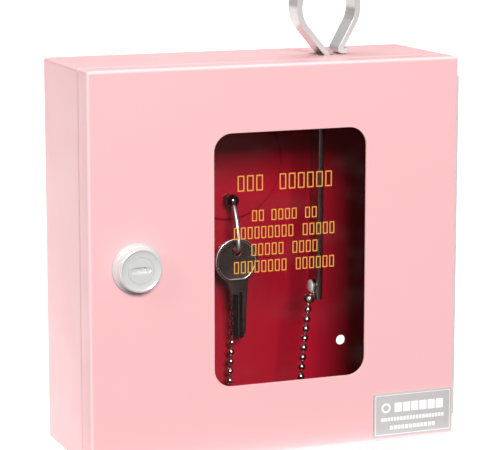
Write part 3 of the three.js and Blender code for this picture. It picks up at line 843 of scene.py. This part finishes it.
finish_piece(lock_housing(), CHROME, "door", "chrome", "lock_housing")
finish_piece(lock_plug(), CHROME, "lock_barrel", "chrome", "lock_plug")
finish_piece(refined("lock_cam", 0.2), ZINC, "lock_barrel", "zinc", "lock_cam")
finish_piece(refined("cam_screw", 0.12), ZINC, "lock_barrel", "zinc", "cam_screw")
finish_piece(refined("lock_nut", 0.25), ZINC, "door", "zinc", "lock_nut")
finish_piece(refined("lock_washer", 0.1), ZINC, "door", "zinc", "lock_washer")

# ---------------------------------------------------------------- glass channels and clip

CHANNELS = ("glass_channel_left", "glass_channel_right", "glass_channel_bottom")
for node in (*CHANNELS, "glass_clip", "clip_stud", "clip_nut"):
    finish_piece(refined(node, 0.12), ZINC, "door", "zinc", node)

# ---------------------------------------------------------------- hinge

PIVOT = (HALF + 2.4, 11.2, 0)
KNUCKLES = 9
KNUCKLE_LOW, KNUCKLE_HIGH = 8, 152
RIVET_ROWS = (24, 80, 136)


def hinge_leaf(name, first, edge, rivet_y):
    """A leaf with its rivet holes and every second knuckle of the row."""
    x0, x1 = HALF + 0.2, HALF + 1
    away = 1 if edge > PIVOT[1] else -1
    root = PIVOT[1] + away * 2.6
    low, high = min(root, edge), max(root, edge)
    turn = lambda p: (p[1], p[0], p[2])
    loop = rect_loop(low, high, KNUCKLE_LOW, KNUCKLE_HIGH, 0.6, 3)
    holes = [circle_loop(rivet_y, z, 1.6, 24) for z in RIVET_ROWS]
    leaf = plate(name, loop, x0, x1, 0.15, holes, turn=turn)
    pitch = (KNUCKLE_HIGH - KNUCKLE_LOW) / KNUCKLES
    for i in range(first, KNUCKLES, 2):
        z0 = KNUCKLE_LOW + i * pitch + 0.2
        z1 = z0 + pitch - 0.4
        ends = sorted((PIVOT[1], root + away * 0.6))
        neck = plate("neck", rect_loop(*ends, z0, z1, 0.1, 2), x0, x1, 0.05, turn=turn)
        combine(leaf, neck, "UNION")
        wall = [(1.35, z0), (2.05, z0), (2.2, z0 + 0.15)]
        wall += [(2.2, z1 - 0.15), (2.05, z1), (1.35, z1), (1.35, z0)]
        combine(leaf, lathe("knuckle", wall, "z", PIVOT, 40), "UNION")
    return weigh_normals(leaf)


finish_piece(hinge_leaf("leaf_on_body", 0, 24.4, 19), HINGE_STEEL, "cabinet", "zinc", "hinge_leaf_body")
finish_piece(hinge_leaf("leaf_on_door", 1, 1.6, 5), HINGE_STEEL, "door", "zinc", "hinge_leaf_door")


def hinge_pin():
    low, high = KNUCKLE_LOW, KNUCKLE_HIGH
    head = [(0.3, -1.2), (1.1, -1.1), (1.6, -0.75), (1.8, -0.3), (1.8, 0.15), (1.05, 0.15)]
    profile = [(r, low + h) for r, h in head] + [(r, high - h) for r, h in reversed(head)]
    return lathe("hinge_rod", profile, "z", PIVOT, 40, 40)


def dome_rivet(name, y, z, seat, inside, radius=2.5):
    """A rivet with a domed head outside and a flat closed head inside."""
    turn = [math.radians(i * 9) for i in range(11)]
    dome = [(radius * math.cos(a), seat + radius * 0.4 * math.sin(a)) for a in turn]
    profile = [(0.2, inside - 1.1), (1.7, inside - 1), (2.1, inside - 0.6)]
    profile += [(2.1, inside), (1.3, inside), (1.3, seat)]
    return lathe(name, profile + dome[:-1] + [(0.05, seat + radius * 0.4)], "x", (0, y, z), 36, 40)


finish_piece(hinge_pin(), HINGE_STEEL, "cabinet", "zinc", "hinge_pin")
for row, height in enumerate(RIVET_ROWS, 1):
    for side, rivet_y, body in (("door", 5, "door"), ("body", 19, "cabinet")):
        rivet = dome_rivet(f"rivet_{side}_{row}", rivet_y, height, HALF + 1.15, HALF - SHEET - 0.15)
        finish_piece(rivet, HINGE_STEEL, body, "zinc", f"hinge_rivet_{side}_{row}")

# ---------------------------------------------------------------- hook and key

KEY = {
    "y": 45,
    "bow_z": 72.2,
    "bow_r": 9.65,
    "hole_z": 76.1,
    "hole_r": 2.2,
    "shoulder_z": 64.1,
    "tip_z": span("key")[0].z,
}


def key_hook():
    """A wire hook: through the panel to a ball, down in front of the bow and back through the key's hole."""
    z = HOOK["z"]
    ky = KEY["y"]
    wire_z = KEY["hole_z"] + KEY["hole_r"] - HOOK["wire"] - 0.45
    path = [
        (KEY_X, 56.9, z),
        (KEY_X, HOOK["y"] + 3, z),
        (KEY_X, HOOK["y"] + 0.5, z - 0.2),
        (KEY_X, HOOK["y"] - 1.6, z - 2.2),
        (KEY_X, ky - 0.6, z - 9),
        (KEY_X, ky - 2.4, z - 15),
        (KEY_X, ky - 2.5, wire_z + 2),
        (KEY_X, ky - 1.8, wire_z + 0.4),
        (KEY_X, ky, wire_z),
        (KEY_X, ky + 1.9, wire_z + 0.5),
        (KEY_X, ky + 2.6, wire_z + 2.4),
    ]
    hook = mesh_object("hook_wire", *sweep(smooth_path(path, 0.4), HOOK["wire"]), smooth_angle=60)
    back = DEPTH - SHEET
    head_profile = [(0.2, back + 0.7), (1.6, back + 0.6), (2.1, back + 0.3)]
    head_profile += [(2.1, back + 0.05), (0.9, back + 0.05), (0.9, back - 1)]
    head = lathe("peened_head", head_profile, "y", (KEY_X, 0, z), 32)
    return combine(hook, head, "UNION", 40)


def hook_ball():
    shape = ball((KEY_X, HOOK["y"], HOOK["z"]), HOOK["ball"], 32, 20)
    return mesh_object("hook_ball", *shape, smooth_angle=60)


def key_outline():
    """The key's outline: a round bow, a tapered neck and a blade with its cuts on the left edge."""
    r, z = KEY["bow_r"], KEY["bow_z"]
    neck_left, neck_right = -4.4, 4.9
    start = -math.acos(neck_right / r)
    end = math.pi + math.acos(-neck_left / r)
    points = []
    for i in range(65):
        a = start + (end - start) * i / 64
        points.append((r * math.cos(a), z + r * math.sin(a)))
    taper = [(-4.2, 62.6), (-3.4, 60.8), (-2.9, 58.6), (-2.7, 56)]
    cuts = [(-2.7, 53.4), (-2.1, 52.6), (-2.1, 51.4), (-1.1, 50.2), (-1.1, 49.2), (-1.9, 48.3)]
    cuts += [(-2.5, 47.6), (-2.5, 46.9), (-1.3, 45.6), (-1.3, 44.8), (-2.2, 43.9), (-2.2, 42.9)]
    cuts += [(-1.7, 42.2), (-1.9, 41.2), (-1.2, 39.6)]
    low = KEY["tip_z"]
    tip = [(0.3, low), (1.9, low + 0.1), (3.1, low + 0.8), (4.0, low + 3.2)]
    back = [(4.2, 48.7), (4.4, 54.2), (4.8, 59.6)]
    return [(KEY_X + x, z) for x, z in points + taper + cuts + tip + back]


def key_piece():
    """The key: a blank with a raised rim round the bow, grooves along the blade and a chamfered hole."""
    y0, y1 = KEY["y"] - 1, KEY["y"] + 1
    hole = circle_loop(KEY_X, KEY["hole_z"], KEY["hole_r"], 40)
    key = plate("key_blank", key_outline(), y0, y1, 0.28, [hole], 0.6)
    dish = circle_loop(KEY_X, KEY["bow_z"], KEY["bow_r"] - 0.95, 96)
    dish = [(x, max(z, KEY["shoulder_z"])) for x, z in dish]
    depth = 0.4
    for low, high in ((y0 - 1, y0 + depth), (y1 - depth, y1 + 1)):
        combine(key, plate("dish", dish, low, high, 0.3), "DIFFERENCE")
    tip = KEY["tip_z"]
    for x0, x1, top in ((-2.1, 0.45, 57.6), (1.0, 2.4, 58.6)):
        groove = rect_loop(KEY_X + x0, KEY_X + x1, tip - 1, top, 0.3, 3)
        combine(key, plate("groove", groove, y0 - 1, y0 + 0.6, 0.15), "DIFFERENCE")
    groove = rect_loop(KEY_X - 0.2, KEY_X + 1.4, tip - 1, 58, 0.3, 3)
    return combine(key, plate("groove", groove, y1 - 0.45, y1 + 1, 0.15), "DIFFERENCE")


finish_piece(key_hook(), WIRE, "cabinet", "chrome", "key_hook")
# The ball's dark reddish colour is a painted reflection of the inside.
finish_piece(hook_ball(), BALL_PAINTED_REFLECTION, "cabinet", "chrome")


def hook_collar():
    y0, y1 = HOOK["y"] + HOOK["ball"] + 0.2, DEPTH - SHEET - BOSS["rise"] - 0.2
    bore = HOOK["wire"] + 0.15
    profile = [(bore, y0), (1.8, y0), (2.1, y0 + 0.3), (2.2, y0 + 0.8)]
    profile += [(2.2, y1 - 0.2), (2.1, y1), (bore, y1), (bore, y0)]
    return lathe("dark_collar", profile, "y", (KEY_X, 0, HOOK["z"]), 48)


# The collar is painted near black as shade round the hook's ball.
finish_piece(hook_collar(), COLLAR_PAINTED_SHADE, "cabinet", "zinc", "hook_collar")


def paint_key_highlight_and_shade(key):
    """Painted highlight on the bow's rim and sloped faces, and painted shade on the floors of the blade's
    grooves.
    """
    key.data.materials.append(NICKEL_EDGE_HIGHLIGHT)
    key.data.materials.append(NICKEL_GROOVE_SHADE)
    front = place((0, KEY["y"] - 0.8, 0)).y
    back = place((0, KEY["y"] + 0.85, 0)).y
    bow = place((0, 0, KEY["shoulder_z"] - 0.4)).z
    for face in key.data.polygons:
        if face.center.z > bow:
            # The bow's rim and sloped faces: painted highlight.
            face.material_index = 1 if abs(face.normal.y) < 0.97 else 0
        elif abs(face.normal.x) < 0.9 and abs(face.normal.z) < 0.9:
            # Floors of the grooves inside the blade's thickness: painted shade.
            face.material_index = 2 if front < face.center.y < back else 0


key_fine = finish_piece(key_piece(), NICKEL, "key", "nickel", "key")
paint_key_highlight_and_shade(key_fine)

# ---------------------------------------------------------------- hammer

LOOP = {"x": 32.3, "z": 179.5, "r": 13}
STRIP = {"x": 29.4, "end_x": 28.9, "t": 2.4, "y0": 24.2, "y1": 34, "z0": 57}
RIVET_HAMMER = (0, 29, 62.2)
COUPLING = (25, 27, 57.5)


def fillet(points, radius, steps=5):
    """A polyline with each inner corner turned by an arc-like curve of the given reach."""
    return rounded_profile([tuple(p) for p in points], radius, steps)


def ribbon_loop(points, thickness):
    """The closed outline of a strip of even thickness along a polyline."""
    left, right = [], []
    n = len(points)
    for i, p in enumerate(points):
        before = Vector(p) - Vector(points[max(i - 1, 0)])
        after = Vector(points[min(i + 1, n - 1)]) - Vector(p)
        a = (before if i else after).normalized()
        b = (after if i < n - 1 else before).normalized()
        middle = Vector((-a.y - b.y, a.x + b.x)).normalized()
        reach = thickness / 2 / middle.dot(Vector((-a.y, a.x)))
        left.append((p[0] + middle.x * reach, p[1] + middle.y * reach))
        right.append((p[0] - middle.x * reach, p[1] - middle.y * reach))
    return right + left[::-1]


def hammer_strip():
    """One strip bent into a loop handle, with a foot on the top and a shank through the slot."""
    arc = []
    for i in range(61):
        a = math.radians(-29 + 256 * i / 60)
        arc.append((LOOP["x"] + LOOP["r"] * math.cos(a), LOOP["z"] + LOOP["r"] * math.sin(a)))
    tab_z = SIDE + 0.3 + STRIP["t"] / 2
    foot = fillet([(41, tab_z), (37.2, tab_z), arc[0]], 1.6)
    corner = (STRIP["x"] + 2.8, SIDE - 0.4)
    shank = fillet([arc[-1], corner, (STRIP["x"], SIDE - 3.6), (STRIP["end_x"], STRIP["z0"])], 0.9)
    path = foot[:-1] + arc + shank[1:]
    loop = ribbon_loop(path, STRIP["t"])
    strip = plate("hammer_loop_strip", loop, STRIP["y0"], STRIP["y1"], 0.35)
    hole_loop = circle_loop(RIVET_HAMMER[1], RIVET_HAMMER[2], 1.8, 32)
    hole = plate("hole", hole_loop, 20, 40, 0.02, turn=lambda p: (p[1], p[0], p[2]))
    return weigh_normals(combine(strip, hole, "DIFFERENCE"))


def hammer_rivet():
    left = STRIP["end_x"] - STRIP["t"] / 2 - 0.95
    right = STRIP["end_x"] + STRIP["t"] / 2 + 0.15
    profile = [(0.1, left - 1.35), (1.0, left - 1.3), (1.8, left - 1.05), (2.35, left - 0.75)]
    profile += [(2.65, left - 0.4), (2.75, left - 0.1), (2.6, left), (1.5, left), (1.5, right)]
    profile += [(2.1, right), (2.2, right + 0.3), (1.7, right + 0.85), (0.1, right + 1.1)]
    return lathe("hammer_rivet_fine", profile, "x", RIVET_HAMMER, 48, 30)


def chain_coupling():
    """A flat eye behind the rivet's head with a round cup that holds the chain's last ball."""
    x1 = STRIP["end_x"] - STRIP["t"] / 2 - 0.2
    x0 = x1 - 0.6
    _, y, z = RIVET_HAMMER
    turn = lambda p: (p[1], p[0], p[2])
    hole = circle_loop(y, z, 1.7, 32)
    eye = plate("eye", circle_loop(y, z, 3, 48), x0, x1, 0.2, [hole], turn=turn)
    strap = rect_loop(y - 2.6, y + 0.4, z - 5, z - 2, 0.4, 4)
    combine(eye, plate("strap", strap, x0, x1, 0.15, turn=turn), "UNION")
    top = COUPLING[2] + 2
    profile = [(0.1, top), (1.1, top - 0.15), (2.0, top - 0.7), (2.45, top - 1.5), (2.5, top - 2.3)]
    profile += [(2.3, top - 3.1), (1.9, top - 3.7), (1.3, top - 4.0), (0.1, top - 4.05)]
    cup = lathe("cup", rounded_profile(profile, 0.3), "z", COUPLING, 40)
    return combine(eye, cup, "UNION")


strip = finish_piece(hammer_strip(), LOOP_STEEL, "hammer", "chrome", "hammer_strip")
line_inside(strip, ((0, 0, 0), (HALF, DEPTH, SIDE - SHEET)), SHANK_STEEL)
finish_piece(hammer_rivet(), BRIGHT_ZINC, "hammer", "zinc", "hammer_rivet")
finish_piece(chain_coupling(), BEADS, "hammer", "zinc", "chain_tab_hammer")
finish_piece(refined("anchor_tab", 0.15), ZINC, "cabinet", "zinc", "anchor_tab")
finish_piece(refined("anchor_rivet", 0.15), ZINC, "cabinet", "zinc", "anchor_rivet")

# ---------------------------------------------------------------- ball chain

FLOOR_Z = SHEET + 1.8
RUN_HAMMER = [(24.5, 27, 52.7), (23.3, 27, 42), (21.7, 27, 27), (20.6, 27, 14), (20.4, 27, 8.8)]
SLACK = [
    (21.2, 27.6, 5),
    (25, 29.6, FLOOR_Z + 0.3),
    (34, 35, FLOOR_Z),
    (43, 37, FLOOR_Z),
    (50, 31, FLOOR_Z),
    (47, 22, FLOOR_Z),
    (37, 18.5, FLOOR_Z),
    (24, 18, FLOOR_Z),
    (11, 18, FLOOR_Z),
    (2, 22, FLOOR_Z),
    (1, 30, FLOOR_Z),
    (9, 34.5, FLOOR_Z),
    (18, 37, FLOOR_Z),
    (20, 43.5, FLOOR_Z),
    (13, 48.5, FLOOR_Z),
    (4, 49.5, FLOOR_Z + 0.3),
    (-0.6, 50.2, 5.2),
]
RUN_ANCHOR = [(-1.9, 50.6, 8.8), (-1.6, 51, 18), (0, 52, 38), (1.5, 53, 58), (1.8, 53.4, 68)]
PITCH = 4.15
BALL_R = 1.6
PIN_R = 0.45


def chain_parts(centres):
    """Balls at the centres and the pins between them."""
    parts = [ball(c, BALL_R) for c in centres]
    for a, b in zip(centres, centres[1:]):
        parts.append(sweep([a.lerp(b, 0.2), a.lerp(b, 0.5), a.lerp(b, 0.8)], PIN_R, 10))
    return parts


def chain_pieces():
    """The run below the hammer, the slack as one piece per bead, and the run to the anchor."""
    centres = smooth_path(RUN_HAMMER + SLACK + RUN_ANCHOR, PITCH)
    lowest_run = RUN_HAMMER[-1][2] - 0.5
    low = [i for i, c in enumerate(centres) if c.z < lowest_run]
    first, last = low[0], low[-1]
    link = sweep([centres[0] + Vector((0.2, 0, 2.3)), centres[0] + Vector((0.1, 0, 1.2))], PIN_R, 10)
    hanging_parts = [link, *chain_parts(centres[:first])]
    hanging = mesh_object("chain_below_hammer", *merge(hanging_parts), smooth_angle=60)
    fixed = mesh_object("chain_to_anchor", *merge(chain_parts(centres[last + 1 :])), smooth_angle=60)
    finish_piece(hanging, BEADS, "hammer", "chrome", "chain_run_hammer")
    finish_piece(fixed, BEADS, "cabinet", "chrome", "chain_run_anchor")
    for i in range(first, last + 1):
        ball_and_pin = merge(chain_parts([centres[i], centres[i + 1]])[::2])
        bead = mesh_object(f"slack_bead_{i}", *ball_and_pin, smooth_angle=60)
        nodes = ["chain_slack"] if i == first else []
        finish_piece(bead, BEADS, None, "chrome", *nodes)
        follow_lift(bead)


def follow_lift(bead):
    """The bead keeps its shape: its placement is baked into its mesh."""
    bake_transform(bead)


chain_pieces()

# ---------------------------------------------------------------- floor, light and camera


def flat_sheet(name, x0, x1, y0, y1, z):
    """A level rectangle in metres."""
    mesh = bpy.data.meshes.new(name)
    mesh.from_pydata([(x0, y0, z), (x1, y0, z), (x1, y1, z), (x0, y1, z)], [], [(0, 1, 2, 3)])
    obj = bpy.data.objects.new(name, mesh)
    bpy.context.scene.collection.objects.link(obj)
    return obj


def floor():
    size = 6.0
    obj = flat_sheet("floor", -size, size, -size, size, BASE_Z - 0.0002)
    paint = Paint("floor")
    paint.color(paint.blend(paint.noise(3), (0.93, 0.93, 0.93), (0.91, 0.91, 0.91)))
    paint.roughness(paint.spread(paint.noise(8), 0.55, 0.7))
    paint.constants(Emission_Strength=0.4)
    paint.shader.inputs["Emission Color"].default_value = (1, 1, 1, 1)
    obj.data.materials.append(paint.material)


def area_light(name, position, target, size, power):
    data = bpy.data.lights.new(name, "AREA")
    data.shape = "RECTANGLE"
    data.size, data.size_y = size
    data.energy = power
    lamp = bpy.data.objects.new(name, data)
    bpy.context.scene.collection.objects.link(lamp)
    lamp.location = position
    lamp.rotation_euler = (Vector(target) - Vector(position)).to_track_quat("-Z", "Y").to_euler()


def dark_card():
    """A dark card in front, out of the camera's sight, that keeps the floor's glare off metal and glass."""
    near, far, wide = FACE_Y - 0.004, -4, 3
    obj = flat_sheet("dark_card", -wide, wide, far, near, BASE_Z + 0.0005)
    paint = Paint("dark_card")
    paint.color(paint.blend(paint.noise(5), (0.03, 0.03, 0.03), (0.02, 0.02, 0.02)))
    paint.roughness(paint.spread(paint.noise(8), 0.8, 0.9))
    obj.data.materials.append(paint.material)
    obj.visible_camera = False
    obj.visible_shadow = False


def studio():
    world = bpy.data.worlds.new("studio")
    bpy.context.scene.world = world
    world.use_nodes = True
    background = world.node_tree.nodes["Background"]
    background.inputs["Color"].default_value = (1, 1, 1, 1)
    background.inputs["Strength"].default_value = 0.2
    middle = place((0, 0, HALF))
    turn, rise, reach = math.radians(8.5), math.radians(23.5), 2.5
    out = Vector((-math.sin(turn) * math.cos(rise), -math.cos(turn) * math.cos(rise), math.sin(rise)))
    area_light("key_light", middle + out * reach, middle, (0.8, 0.66), 72)
    above = place((0, 1500, 1300))
    area_light("top_light", above, above - Vector((0, 0, 1)), (2.6, 3.4), 48)
    side = math.radians(64)
    left = middle + 2.2 * Vector((-math.sin(side), -math.cos(side), 0.55))
    area_light("left_light", left, middle, (0.4, 0.7), 9)


def camera():
    """The main view: from the left, a little above."""
    data = bpy.data.cameras.new("camera")
    data.lens = 159.1
    data.sensor_width = 36
    data.clip_start = 0.01
    eye = bpy.data.objects.new("camera", data)
    bpy.context.scene.collection.objects.link(eye)
    eye.location = place((-333, -810, 251))
    eye.rotation_euler = (math.radians(90 - 10.11), 0, math.radians(-21.6))
    bpy.context.scene.camera = eye


floor()
dark_card()
studio()
camera()
bpy.context.scene.view_settings.view_transform = "Standard"
